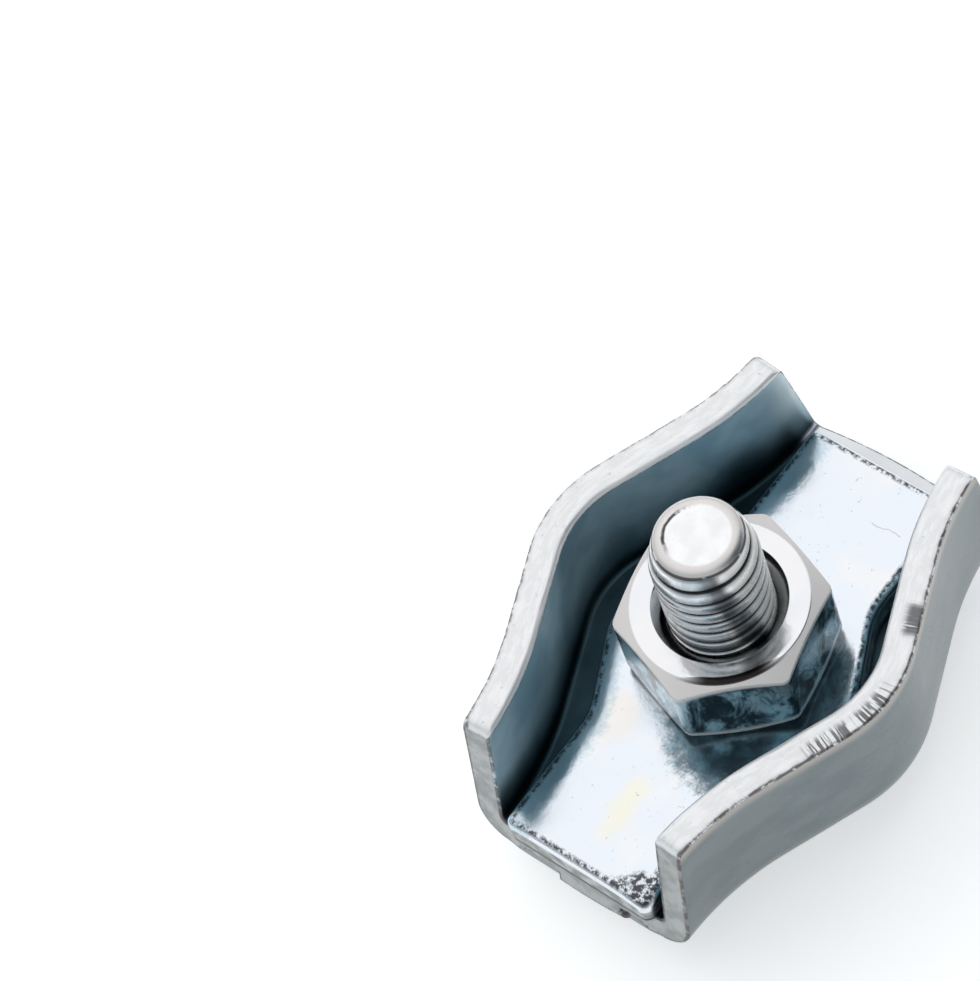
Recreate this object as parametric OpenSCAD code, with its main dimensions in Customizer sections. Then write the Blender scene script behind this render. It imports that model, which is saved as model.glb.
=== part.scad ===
// Wire rope clip with one bolt: a bent sheet channel, a loose clamp plate,
// a square-neck bolt that stands up through both, and a hexagon nut on top.
// +Z is the bolt axis and points to the bolt's tip. +X is along the ropes.
// z = 0 is the underside of the bolt head.

/* [Bolt] */
// Thread diameter, drawn as a plain cylinder
thread_d = 6; // [4.8:0.1:7.2]
// Length of the bolt from under its head to its tip
bolt_len = 16; // [13.5:0.5:19]
// Height of the chamfer at the tip, at 45 degrees
tip_chamfer = 0.7; // [0.5:0.1:0.9]
// Diameter of the flat round head
head_d = 13; // [10.5:0.5:15.5]
// Thickness of the head
head_h = 2.4; // [2:0.1:3]
// Radius round the head's lower rim
head_rim_r = 1.2; // [0.8:0.1:1.5]
// How much wider the square neck is than the thread
neck_extra = 0.2; // [0.1:0.05:0.3]
// How far the square neck stays below the base's top
neck_short = 0.2; // [0.1:0.05:0.4]

/* [Channel body] */
// Thickness of the channel's sheet
sheet_t = 1.7; // [1.4:0.1:2]
// Length of the base along the ropes, at its middle
base_len = 29.2; // [24.3:0.1:35.1]
// Height of the channel from its underside to the top of its flanges
channel_h = 9.3; // [7.7:0.1:11.2]
// Inside width between the flanges at their ends
end_inner_w = 10.6; // [8.8:0.1:12.7]
// Inside width between the flanges at the bolt
mid_inner_w = 18.3; // [15.3:0.1:22]
// Length of the straight stretch at each end of a flange
end_straight = 0.3; // [0.2:0.05:0.5]
// How much steeper the flanks are than a line from the middle to the end
flank_steepness = 1.49; // [1.3:0.01:1.6]
// Inside radius of the flanges' bend beside the bolt
mid_bend_r = 5.8; // [4.8:0.1:7]
// Inside radius of the fold between the base and a flange
fold_r = 0.35; // [0.3:0.05:0.4]
// Backward lean of the flanges' end edges
end_rake = 9.6; // [8:0.2:11.6]
// Radius of the flanges' top corners
top_corner_r = 0.6; // [0.5:0.1:0.7]
// How far the middle of the base's end stands beyond its sides
end_crown = 0.35; // [0.3:0.05:0.45]
// Width of the strip left by the shears at one end of the base
shear_tab_w = 4; // [3.2:0.1:4.8]
// How far that strip stands out from the rest of its edge
shear_tab_out = 0.3; // [0.25:0.01:0.36]
// Distance of that strip's middle from the middle of the base
shear_tab_y = -0.6; // [-1:0.1:1]

/* [Clamp plate] */
// Thickness of the clamp plate
plate_t = 2; // [1.7:0.1:2.4]
// How much shorter the plate is than the base, in all
plate_short = 1.8; // [1.5:0.1:2.2]
// Gap on each side between the plate's ends and the flanges
plate_end_gap = 0.65; // [0.55:0.05:0.8]
// Gap on each side between the plate's middle and the flanges
plate_mid_gap = 1.95; // [1.65:0.05:2.35]
// Half the length of the plate's wide middle
plate_shoulder = 7.2; // [6:0.1:8.6]
// How much steeper the plate's flanks are than a line down its shoulder
plate_steepness = 1.36; // [1.2:0.01:1.5]
// Radius of the plate's outline beside the bolt
plate_mid_r = 5; // [4.2:0.1:6]
// Radius of the plate's corners
plate_corner_r = 0.5; // [0.4:0.1:0.6]
// Height of the gap between the base and the plate as stored
plate_gap = 0.1; // [0.08:0.01:0.12]
// Slack that the plate has taken up along the ropes
plate_slip_x = -0.8; // [-0.8:0.05:0.8]
// Slack that the plate has taken up across the ropes
plate_slip_y = -0.25; // [-0.25:0.05:0.25]

/* [Nut] */
// Width across the nut's flats
nut_af = 10; // [9.6:0.1:12]
// Height of the nut
nut_h = 5.2; // [4.3:0.1:6.2]
// Width of the rim outside the flat ring on the nut's faces, at the flats
nut_rim = 0.25; // [0.1:0.05:0.4]
// Angle of the nut's corner chamfers to its faces
nut_chamfer_angle = 30; // [25:1:36]
// How much wider the countersunk mouths are than the thread
nut_mouth_extra = 1.2; // [1:0.1:1.4]
// Direction of one corner of the nut as stored
nut_corner_angle = 12.5; // [0:0.1:60]

/* [Fits] */
// Radial running clearance of the nut on the thread
thread_clear = 0.05; // [0.02:0.01:0.09]
// Radial clearance of the plate's hole on the thread
plate_hole_clear = 0.95; // [0.9:0.05:1.1]
// Clearance on each side of the square neck in the base
neck_clear = 0.1; // [0.05:0.01:0.2]

/* [Hidden] */
$fn = 96;
ARC_STEP = 5;        // degrees between the points of an outline's arcs
FOLD_STEPS = 5;      // flat faces round a fold
OVERLAP = 0.6;       // how far the pieces of one solid run into each other
MARGIN = 5;          // how far cutting tools reach past what they cut

base_top_z = head_h + sheet_t;
plate_z = base_top_z + plate_gap;
plate_top_z = plate_z + plate_t;
tip_z = head_h + bolt_len;
neck_w = thread_d + neck_extra;
neck_hole_w = neck_w + 2 * neck_clear;
outer_fold_r = fold_r + sheet_t;
side_x = base_len / 2 - end_crown;
plate_len = base_len - plate_short;

function reversed(points) = [for (i = [len(points) - 1:-1:0]) points[i]];

// Angles from a to b in equal steps of about ARC_STEP.
function turns(a, b) =
    let (steps = max(1, ceil(abs(b - a) / ARC_STEP)))
    [for (i = [0:steps]) a + (b - a) * i / steps];

// A waisted curve over x, which both the flanges and the clamp plate follow:
// a bend round the middle, a straight flank, and a reverse bend that ends
// parallel to X at x = run. It is kept as
// [middle y, end y, run, middle radius, flank angle, reverse radius].
function waist(mid_w, end_w, run, mid_r, steepness) =
    let (
        drop = (mid_w - end_w) / 2,
        angle = steepness * atan(drop / run),
        both_radii = (run * sin(angle) - drop * cos(angle)) / (1 - cos(angle))
    )
    [mid_w / 2, end_w / 2, run, mid_r, angle, both_radii - mid_r];

function flank_start(w) = w[3] * sin(w[4]);

function flank_end(w) = w[2] - w[5] * sin(w[4]);

function waist_y(w, x) =
    let (ax = abs(x), mid_centre = w[0] - w[3])
    ax < flank_start(w) ? mid_centre + sqrt(w[3] ^ 2 - ax ^ 2)
    : ax < flank_end(w) ? mid_centre + w[3] * cos(w[4]) - (ax - flank_start(w)) * tan(w[4])
    : ax < w[2] ? w[1] + w[5] - sqrt(w[5] ^ 2 - (w[2] - ax) ^ 2)
    : w[1];

// How far the curve has turned away from X at x.
function waist_turn(w, x) =
    let (ax = abs(x))
    sign(x) * (
        ax < flank_start(w) ? asin(ax / w[3])
        : ax < flank_end(w) ? w[4]
        : ax < w[2] ? asin((w[2] - ax) / w[5])
        : 0
    );

// The x of the points that the curve needs, from its middle outwards.
function waist_stations(w) = concat(
    [for (t = turns(0, w[4])) w[3] * sin(t)],
    [for (t = turns(w[4], 0)) w[2] - w[5] * sin(t)]
);

flange = waist(mid_inner_w, end_inner_w, side_x - end_straight, mid_bend_r, flank_steepness);
plate_edge = waist(
    mid_inner_w - 2 * plate_mid_gap,
    end_inner_w - 2 * plate_end_gap,
    plate_shoulder,
    plate_mid_r,
    plate_steepness
);

// Half the channel's length at a height: its end edges lean back, and its
// top corners are round.
function half_length(z) =
    let (up = max(0, z - (channel_h - top_corner_r)))
    side_x - z * tan(end_rake) - top_corner_r + sqrt(top_corner_r ^ 2 - up ^ 2);

half_stations = concat(waist_stations(flange), [side_x]);
stations = concat(
    [for (i = [len(half_stations) - 1:-1:1]) -half_stations[i]],
    half_stations
);

// A station's x at a height: those past the flank's start close up where the
// channel is shorter.
function station_x(x, z) =
    let (fixed = flank_start(flange))
    abs(x) <= fixed ? x
    : sign(x) * (fixed + (abs(x) - fixed) * (half_length(z) - fixed) / (side_x - fixed));

// Half of the section's outer and inner outlines, from a flange's top to the
// foot of its fold, as distance outside the flange's inner face and height.
top_levels = [for (t = [90:-30:0]) channel_h - top_corner_r * (1 - sin(t))];
fold_turns = [for (i = [0:FOLD_STEPS]) -90 * i / FOLD_STEPS];

function half_section(face, r) = concat(
    [for (z = top_levels) [face, z]],
    [for (t = fold_turns) [-fold_r + r * cos(t), outer_fold_r + r * sin(t)]]
);

// A point of the section at a station, on the +Y flange.
function flange_point(station, p) =
    let (x = station_x(station, p[1]), turn = waist_turn(flange, x))
    [x + p[0] * sin(turn), waist_y(flange, x) + p[0] * cos(turn), p[1]];

// The flat of the base between the feet of the folds, with crowned ends.
function floor_points(station, z) =
    let (foot = flange_point(station, [-fold_r, z]))
    [for (share = [0.5, 0, -0.5])
        [foot[0] * (1 + end_crown * (1 - share ^ 2) / side_x), foot[1] * share, z]];

function across(points) = [for (p = reversed(points)) [p[0], -p[1], p[2]]];

function outline(station, half, z) =
    let (side = [for (p = half) flange_point(station, p)])
    concat(side, floor_points(station, z), across(side));

// The bent sheet, as sections joined from one end to the other.
module bent_sheet() {
    outer = half_section(sheet_t, outer_fold_r);
    inner = half_section(0, fold_r);
    side_count = 2 * len(outer) + 3;
    ring = 2 * side_count;
    last = (len(stations) - 1) * ring;
    points = [for (s = stations) each concat(
        outline(s, outer, 0),
        reversed(outline(s, inner, sheet_t))
    )];
    walls = [for (i = [0:len(stations) - 2]) for (k = [0:ring - 1])
        let (a = i * ring + k, b = i * ring + (k + 1) % ring)
        each [[a, b, b + ring], [a, b + ring, a + ring]]];
    caps = [for (a = [0:side_count - 2])
        let (b = a + 1, c = ring - 2 - a, d = ring - 1 - a)
        each [
            [a, c, b], [a, d, c],
            [last + a, last + b, last + c], [last + a, last + c, last + d]
        ]];
    polyhedron(points, concat(walls, caps));
}

// What the shears took off the base's end on one side of the strip they left.
module shear_cut(side) {
    reach = mid_inner_w;
    middle = shear_tab_y + side * (shear_tab_w + reach) / 2;
    translate([-base_len / 2 + shear_tab_out - MARGIN, middle - reach / 2, -MARGIN])
        cube([MARGIN, reach, MARGIN + sheet_t / 2]);
}

module channel_body() {
    color([0.74, 0.77, 0.80])
        translate([0, 0, head_h])
            difference() {
                bent_sheet();
                cube([neck_hole_w, neck_hole_w, 3 * sheet_t], center = true);
                shear_cut(-1);
                shear_cut(1);
            }
}

// The clamp plate's outline, symmetric both ways.
function plate_outline() =
    let (
        r = plate_corner_r,
        corner = [plate_len / 2 - r, plate_edge[1] - r],
        quarter = concat(
            [for (t = turns(0, 90)) corner + r * [cos(t), sin(t)]],
            [for (x = reversed(waist_stations(plate_edge))) [x, waist_y(plate_edge, x)]]
        ),
        upper = concat(quarter, reversed([for (p = quarter) if (p[0] > 0) [-p[0], p[1]]]))
    )
    concat(upper, reversed([for (p = upper) if (p[1] > 0) [p[0], -p[1]]]));

module clamp_plate() {
    color([0.86, 0.88, 0.90])
        translate([plate_slip_x, plate_slip_y, plate_z])
            difference() {
                linear_extrude(plate_t) polygon(plate_outline());
                translate([0, 0, -MARGIN])
                    cylinder(d = thread_d + 2 * plate_hole_clear, h = plate_t + 2 * MARGIN);
            }
}

// Half the section of the bolt's head, with its lower rim rounded.
module head_section() {
    rim_x = head_d / 2 - head_rim_r;
    difference() {
        square([head_d / 2, head_h]);
        difference() {
            translate([rim_x, -MARGIN]) square([head_rim_r + MARGIN, head_rim_r + MARGIN]);
            translate([rim_x, head_rim_r]) circle(head_rim_r);
        }
    }
}

module bolt() {
    neck_top = base_top_z - neck_short;
    color([0.70, 0.72, 0.75]) {
        rotate_extrude() head_section();
        translate([-neck_w / 2, -neck_w / 2, head_h - OVERLAP])
            cube([neck_w, neck_w, neck_top - head_h + OVERLAP]);
        translate([0, 0, head_h - OVERLAP])
            cylinder(d = thread_d, h = bolt_len - tip_chamfer + OVERLAP);
        translate([0, 0, tip_z - tip_chamfer])
            cylinder(d1 = thread_d, d2 = thread_d - 2 * tip_chamfer, h = tip_chamfer);
    }
}

// The cone that the nut's corners stay inside at its upper end.
module nut_end_cone() {
    spread = nut_af;
    cone_h = spread * tan(nut_chamfer_angle);
    face_d = nut_af - 2 * nut_rim;
    translate([0, 0, nut_h - cone_h])
        cylinder(d1 = face_d + 2 * spread, d2 = face_d, h = cone_h);
}

module hex_nut() {
    bore_d = thread_d + 2 * thread_clear;
    mouth_d = thread_d + nut_mouth_extra;
    mouth_h = (mouth_d - bore_d) / 2;
    color([0.83, 0.84, 0.85])
        translate([0, 0, plate_top_z])
            difference() {
                intersection() {
                    rotate(nut_corner_angle)
                        cylinder(d = nut_af / cos(30), h = nut_h, $fn = 6);
                    nut_end_cone();
                    translate([0, 0, nut_h]) mirror([0, 0, 1]) nut_end_cone();
                }
                translate([0, 0, -MARGIN]) cylinder(d = bore_d, h = nut_h + 2 * MARGIN);
                translate([0, 0, nut_h - mouth_h])
                    cylinder(d1 = bore_d, d2 = mouth_d, h = mouth_h);
                cylinder(d1 = mouth_d, d2 = bore_d, h = mouth_h);
            }
}

channel_body();
clamp_plate();
bolt();
hex_nut();
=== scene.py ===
"""Zinc-plated wire rope clip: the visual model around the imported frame.

Shapes are worked out in millimetres in the row frame, and add_piece() writes them in metres.
"""
import math

import bmesh
import bpy
import numpy as np
from mathutils import Matrix, Vector, noise


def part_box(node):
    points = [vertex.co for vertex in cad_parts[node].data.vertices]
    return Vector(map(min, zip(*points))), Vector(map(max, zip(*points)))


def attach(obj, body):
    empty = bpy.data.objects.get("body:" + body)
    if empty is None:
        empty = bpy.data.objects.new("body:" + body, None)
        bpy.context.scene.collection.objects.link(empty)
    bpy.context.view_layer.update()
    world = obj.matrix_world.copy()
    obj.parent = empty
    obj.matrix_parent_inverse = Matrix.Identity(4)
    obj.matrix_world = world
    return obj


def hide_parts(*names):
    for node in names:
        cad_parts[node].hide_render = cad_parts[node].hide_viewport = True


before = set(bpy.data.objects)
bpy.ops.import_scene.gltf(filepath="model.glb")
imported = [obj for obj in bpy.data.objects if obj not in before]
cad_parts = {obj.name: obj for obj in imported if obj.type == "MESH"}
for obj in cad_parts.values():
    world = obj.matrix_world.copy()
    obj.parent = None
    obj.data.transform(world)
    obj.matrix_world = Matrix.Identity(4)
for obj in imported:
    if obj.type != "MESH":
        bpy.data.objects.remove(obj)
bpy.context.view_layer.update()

scene = bpy.context.scene

MM = 0.001


def box_mm(node):
    """Lowest and highest corner of a CAD node, in millimetres."""
    low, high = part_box(node)
    return np.array(low) / MM, np.array(high) / MM


CHANNEL_LOW, CHANNEL_HIGH = box_mm("channel_body")
PLATE_LOW, PLATE_HIGH = box_mm("clamp_plate")
BOLT_HIGH = box_mm("bolt")[1]
NUT_LOW, NUT_HIGH = box_mm("hex_nut")


# ---------------------------------------------------------------- meshes

def closed_mesh(name, points, faces, attributes=None):
    """A mesh from points in millimetres, with doubled points merged and normals outside."""
    mesh = bpy.data.meshes.new(name)
    mesh.from_pydata([tuple(np.asarray(p) * MM) for p in points], [], faces)
    for key, values in (attributes or {}).items():
        layer = mesh.attributes.new(key, "FLOAT", "POINT")
        layer.data.foreach_set("value", np.asarray(values, np.float32))
    cleaned = bmesh.new()
    cleaned.from_mesh(mesh)
    bmesh.ops.remove_doubles(cleaned, verts=cleaned.verts, dist=2e-7)
    bmesh.ops.dissolve_degenerate(cleaned, edges=cleaned.edges, dist=2e-7)
    bmesh.ops.recalc_face_normals(cleaned, faces=cleaned.faces)
    cleaned.to_mesh(mesh)
    cleaned.free()
    return mesh


def shade(mesh, smooth_angle):
    mesh.shade_smooth()
    mesh.set_sharp_from_angle(angle=math.radians(smooth_angle))


def add_piece(name, points, faces, body, node, attributes=None, smooth_angle=34):
    """A closed mesh piece that rides on a body and stands for a CAD node."""
    mesh = closed_mesh(name, points, faces, attributes)
    shade(mesh, smooth_angle)
    piece = bpy.data.objects.new(name, mesh)
    scene.collection.objects.link(piece)
    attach(piece, body)
    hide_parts(node)
    return piece


def combine(piece, points, faces, operation="DIFFERENCE", smooth_angle=34):
    """Takes a closed tool's volume out of a piece, or adds it with UNION."""
    tool = bpy.data.objects.new("tool", closed_mesh("tool", points, faces))
    scene.collection.objects.link(tool)
    modifier = piece.modifiers.new("combine", "BOOLEAN")
    modifier.operation = operation
    modifier.solver = "EXACT"
    modifier.object = tool
    bpy.context.view_layer.update()
    evaluated = piece.evaluated_get(bpy.context.evaluated_depsgraph_get())
    made = bpy.data.meshes.new_from_object(evaluated)
    piece.modifiers.clear()
    old = piece.data
    piece.data = made
    bpy.data.meshes.remove(old)
    made.name = piece.name
    bpy.data.objects.remove(tool)
    shade(made, smooth_angle)


def strips(rings, closed):
    """Quads between neighbouring rows of vertex numbers; closed joins each row's ends."""
    quads = []
    for a, b in zip(rings[:-1], rings[1:]):
        count = len(a) if closed else len(a) - 1
        for i in range(count):
            j = (i + 1) % len(a)
            quads.append((a[i], a[j], b[j], b[i]))
    return quads


def column_mesh(columns, closed):
    """Points and quads of a turned shape from its columns at growing angles. Columns are
    closed loops, or run from the axis to the axis."""
    height = len(columns[0])
    points = [p for column in columns for p in column]
    rows = [[k * height + i for i in range(height)] for k in range(len(columns))]
    return points, strips(rows, closed)


def prism(outline, low, high):
    """A closed prism over a convex outline."""
    count = len(outline)
    points = [(x, y, low) for x, y in outline] + [(x, y, high) for x, y in outline]
    sides = [(i, (i + 1) % count, count + (i + 1) % count, count + i) for i in range(count)]
    return points, sides + [tuple(range(count)), tuple(range(count, 2 * count))]


def box_prism(x0, x1, y0, y1, low, high):
    return prism([(x0, y0), (x1, y0), (x1, y1), (x0, y1)], low, high)


def lump(centre, radii):
    """A slightly uneven ball of metal."""
    columns = []
    for a in np.radians(np.arange(0, 361, 20)):
        column = []
        for b in np.radians(np.linspace(90, -90, 10)):
            unit = np.array([math.cos(b) * math.cos(a), math.cos(b) * math.sin(a), math.sin(b)])
            uneven = 1 - 0.15 * abs(wobble(*unit, scale=1.7))
            column.append(tuple(np.array(centre) + unit * np.array(radii) * uneven))
        columns.append(column)
    return column_mesh(columns, closed=False)


def wobble(x, y=0.0, z=0.0, scale=1.0):
    """Smooth noise from about -1 to 1 over millimetres."""
    return noise.noise(Vector((x, y, z)) * scale)


def bell(distance, width):
    return math.exp(-0.5 * (distance / width) ** 2)


class Waist:
    """A waisted curve over x: a bend round the middle, straight flanks, and reverse bends
    that end parallel to X at x = run."""

    def __init__(self, mid, end, run, mid_radius, steepness):
        drop = mid - end
        self.mid, self.end, self.run, self.mid_radius = mid, end, run, mid_radius
        self.angle = steepness * math.atan2(drop, run)
        sine, cosine = math.sin(self.angle), math.cos(self.angle)
        self.back_radius = (run * sine - drop * cosine) / (1 - cosine) - mid_radius
        self.flank_start = mid_radius * sine
        self.flank_end = run - self.back_radius * sine

    def y(self, x):
        x = abs(x)
        if x < self.flank_start:
            return self.mid - self.mid_radius + math.sqrt(self.mid_radius**2 - x**2)
        if x < self.flank_end:
            top = self.mid - self.mid_radius * (1 - math.cos(self.angle))
            return top - (x - self.flank_start) * math.tan(self.angle)
        if x < self.run:
            radius = self.back_radius
            return self.end + radius - math.sqrt(radius**2 - (self.run - x) ** 2)
        return self.end

    def turn(self, x):
        """How far the curve has turned away from X."""
        side, x = math.copysign(1, x), abs(x)
        if x < self.flank_start:
            return side * math.asin(x / self.mid_radius)
        if x < self.flank_end:
            return side * self.angle
        if x < self.run:
            return side * math.asin((self.run - x) / self.back_radius)
        return 0.0


# ---------------------------------------------------------------- channel body

SHEET = 1.7                # sheet thickness
FOLD = 0.35                # inside radius between the base and a flange
END_CROWN = 0.35           # how far the base's middle stands beyond its sides
END_STRAIGHT = 0.3         # straight stretch at each end of a flange
END_INNER = 5.3            # half of the inside width at the ends
MID_RADIUS = 5.8           # inside radius of the flanges beside the bolt
FLANK_STEEPNESS = 1.49     # how much steeper the flanks are than a line down the bulge
RAKE = math.radians(9.6)   # backward lean of the end edges
TOP_CORNER = 0.6           # radius of the flanges' top corners
END_ROUND = 0.13           # rounding round the sheared end faces
TOP_ROUND_IN = 0.3         # rounding of the flange tops' inner edge
TOP_ROUND_OUT = 0.17       # the same, outer edge
TAB_MIDDLE, TAB_HALF = -0.6, 2.0   # the strip that the shears left at the -X end
TAB_OUT = 0.3              # how far it stands out
NECK_HOLE = 3.2            # half the width of the square hole
STATION_STEP = 0.3         # length of a flange between two sections
END_MARGIN = 0.5           # length of a flange without sections at each end
END_TURNS = np.radians([90, 60, 30, 0])    # turns round the rounding of an end
BURR_RADII = (0.36, 0.40, 0.33)    # of the burr beside the strip, along X, Y and Z

HEIGHT = CHANNEL_HIGH[2] - CHANNEL_LOW[2]
SIDE_X = CHANNEL_HIGH[0] - END_CROWN
flange = Waist(
    CHANNEL_HIGH[1] - SHEET, END_INNER, SIDE_X - END_STRAIGHT, MID_RADIUS, FLANK_STEEPNESS
)


def half_length(z):
    """Half the channel's length at a height above its underside."""
    up = max(0.0, z - (HEIGHT - TOP_CORNER))
    corner = math.sqrt(max(0.0, TOP_CORNER**2 - up**2))
    return SIDE_X - z * math.tan(RAKE) - TOP_CORNER + corner


def flange_point(station, back, across, z):
    """A point across mm outside the +Y flange's inner face, back mm short of its end."""
    fixed = flange.flank_start
    x = station
    if abs(station) > fixed:
        share = (abs(station) - fixed) / (SIDE_X - fixed)
        x = math.copysign(fixed + share * (half_length(z) - fixed) - back, station)
    turn = flange.turn(x)
    return (x + across * math.sin(turn), flange.y(x) + across * math.cos(turn), z)


# Depths below a flange's top, turns round a fold, and shares of the floor's half width.
SIDE_DEPTHS = [0.5, 0.6, 0.8, 1.1, 1.7, 2.5, 3.4, 4.3, 5.2, 6.1, HEIGHT - FOLD - SHEET]
FOLD_ANGLES = np.radians(np.linspace(0, -90, 9))[1:]
FLOOR_SHARES = sorted(
    list(np.linspace(-0.96, 0.96, 25)) + [-0.575, -0.505, 0.255, 0.325], reverse=True
)
FLAT_SHARES = [0.3, 0.44, 0.56, 0.68]     # of the thickness, over a flange top's flat
FLAT_WAVE = 0.012                         # height of the waves on that flat


def top_edge(station, inset):
    """The flange top from its outer to its inner edge, as (across, z)."""
    ragged = TOP_ROUND_OUT + 0.07 * wobble(station, 3.1, scale=1.7)
    ragged += 0.04 * wobble(station, 8.2, scale=5.1)
    outer, inner = max(0.06, ragged), TOP_ROUND_IN + 0.06 * wobble(station, 5.7, scale=0.6)
    top, points = HEIGHT - inset, []
    for angle in (0, 30, 60, 90):
        a = math.radians(angle)
        points.append((SHEET - inset - outer * (1 - math.cos(a)), top - outer * (1 - math.sin(a))))
    for share in FLAT_SHARES:
        wave = FLAT_WAVE * (1 + wobble(station, share * 9, scale=3.3))
        points.append((SHEET * (1 - share), top - wave))
    for angle in (90, 68, 45, 22, 0):
        a = math.radians(angle)
        points.append((inset + inner * (1 - math.cos(a)), top - inner * (1 - math.sin(a))))
    return points


def channel_section(station, inset, back):
    """The +Y half's outer line, inner line and top edge, and the floor's two lines."""
    edge = top_edge(station, inset)
    across_out, across_in = SHEET - inset, inset
    outer, inner = [edge[0]], [edge[-1]]
    for depth in SIDE_DEPTHS:
        outer.append((across_out, HEIGHT - depth))
        inner.append((across_in, HEIGHT - depth))
    for a in FOLD_ANGLES:
        for line, radius in ((outer, FOLD + SHEET - inset), (inner, FOLD + inset)):
            line.append((-FOLD + radius * math.cos(a), FOLD + SHEET + radius * math.sin(a)))
    outer, inner, top = [
        [flange_point(station, back, across, z) for across, z in line]
        for line in (outer, inner, edge[1:-1])
    ]
    floors = []
    for foot, z in ((outer[-1], inset), (inner[-1], SHEET - inset)):
        floors.append([
            (foot[0] * (1 + END_CROWN * (1 - share**2) / SIDE_X), foot[1] * share, z)
            for share in FLOOR_SHARES
        ])
    return outer, inner, top, floors


def mirrored(points):
    return [(x, -y, z) for x, y, z in reversed(points)]


def end_rings():
    """Stations from end to end with the inset and setback that round the ends."""
    rounding = [(END_ROUND * (1 - math.cos(a)), END_ROUND * (1 - math.sin(a))) for a in END_TURNS]
    reach = SIDE_X - END_MARGIN
    count = round(reach / STATION_STEP)
    inner = [k * reach / count for k in range(-count, count + 1)]
    return ([(-SIDE_X, inset, back) for inset, back in rounding]
            + [(s, 0.0, 0.0) for s in inner]
            + [(SIDE_X, inset, back) for inset, back in reversed(rounding)])


def path_lengths(points):
    steps = [math.dist(a, b) for a, b in zip(points[:-1], points[1:])]
    return np.concatenate([[0.0], np.cumsum(steps)])


def build_channel():
    """The bent sheet. Its attributes: edge is 1 on sheared faces and 0.5 on their rounding,
    along runs along a sheared face, and through goes from 0 outside to 1 inside."""
    points, rings = [], []
    edge, along, through = [], [], []
    for station, inset, back in end_rings():
        outer, inner, top, floors = channel_section(station, inset, back)
        below = outer + floors[0] + mirrored(outer)
        above = inner + floors[1] + mirrored(inner)
        top_far = list(reversed(top))
        top_near = [(x, -y, z) for x, y, z in top]
        ring = below + top_near + list(reversed(above)) + top_far
        start = len(points)
        points += ring
        rings.append(list(range(start, start + len(ring))))
        shares = list(np.linspace(0.1, 0.9, len(top)))
        corner = 1.0 if inset >= END_ROUND else 0.5 if inset > 0 else 0.0
        edge += [corner] * len(below) + [1.0] * len(top) + [corner] * len(above) + [1.0] * len(top)
        along += [station] * len(ring)
        through += [0.0] * len(below) + shares + [1.0] * len(above) + shares[::-1]
    faces = strips(rings, closed=True)

    width, layers = len(below), len(top)
    for ring, end in ((rings[0], -1), (rings[-1], 1)):
        below = ring[:width]
        near = ring[width:width + layers]
        above = ring[width + layers:2 * width + layers][::-1]
        far = ring[2 * width + layers:][::-1]
        lengths = path_lengths([points[i] for i in below])
        rows = []
        for i in range(width):
            if i == 0:
                middle = far
            elif i == width - 1:
                middle = near
            else:
                middle = []
                for k in range(layers):
                    share = (k + 1) / (layers + 1)
                    a, b = np.array(points[below[i]]), np.array(points[above[i]])
                    spot = a + (b - a) * share
                    spot[0] -= end * 0.02 * abs(wobble(spot[1] * 4, share * 2.5, spot[2] * 4))
                    middle.append(len(points))
                    points.append(tuple(spot))
                    edge.append(1.0)
                    along.append(SIDE_X + min(lengths[i], lengths[-1] - lengths[i]))
                    through.append(share)
            rows.append([below[i]] + list(middle) + [above[i]])
        faces += strips(rows, closed=False)

    raised = [(x, y, z + CHANNEL_LOW[2]) for x, y, z in points]
    piece = add_piece(
        "channel_sheet", raised, faces, "base", "channel_body",
        {"edge": edge, "along": along, "through": through},
    )
    low = CHANNEL_LOW[2]
    combine(piece, *box_prism(
        -NECK_HOLE, NECK_HOLE, -NECK_HOLE, NECK_HOLE, low - 1, low + SHEET + 1))
    line = -CHANNEL_HIGH[0] + TAB_OUT
    reach = CHANNEL_HIGH[1] + 1
    for y0, y1 in ((TAB_MIDDLE + TAB_HALF, reach), (-reach, TAB_MIDDLE - TAB_HALF)):
        combine(piece, *box_prism(line - 2, line, y0, y1, low - 1, low + SHEET / 2))
    burr = (line + 0.10, TAB_MIDDLE - TAB_HALF - 0.15, low + BURR_RADII[0])
    combine(piece, *lump(burr, BURR_RADII), operation="UNION")
    return piece


# ---------------------------------------------------------------- clamp plate

PLATE_END_HALF = 4.65      # half the plate's width at its ends
PLATE_SHOULDER = 7.2       # half the length of its wide middle
PLATE_MID_RADIUS = 5.0     # radius of its outline beside the bolt
PLATE_STEEPNESS = 1.36     # how much steeper its flanks are than a line down the shoulder
PLATE_CORNER = 0.5         # radius of its corners
LONG_ROLL = 0.5            # rounding of the top along the -Y edge
FAR_ROLL_WIDE = 1.5        # width of the softer rounding along the +Y edge
FAR_ROLL_DEEP = 0.35       # and its depth
END_ROLL = 0.34            # rounding of the top along the ends
UNDER_ROLL = 0.15          # rounding of the underside's edges
HOLE_RADIUS = 3.95         # radius of the bolt's hole
NEAR_DENT, FAR_DENT = 0.42, 0.15    # depths of the pressed-down corners at the -X end
RIM_STEPS = [0.0, 0.02, 0.06, 0.12, 0.2, 0.3, 0.42, 0.56, 0.75, 0.95, 1.2, 1.5]
FAR_FROM_FLANK = 9.0       # what the flank attribute says away from the +Y edge

PLATE_MIDDLE = (PLATE_LOW + PLATE_HIGH) / 2
PLATE_HALF = (PLATE_HIGH - PLATE_LOW) / 2
plate_edge = Waist(
    PLATE_HALF[1], PLATE_END_HALF, PLATE_SHOULDER, PLATE_MID_RADIUS, PLATE_STEEPNESS
)


def plate_half_width(x):
    past = abs(x) - (PLATE_HALF[0] - PLATE_CORNER)
    if past <= 0:
        return plate_edge.y(x)
    return PLATE_END_HALF - PLATE_CORNER + math.sqrt(max(0.0, PLATE_CORNER**2 - past**2))


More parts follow.
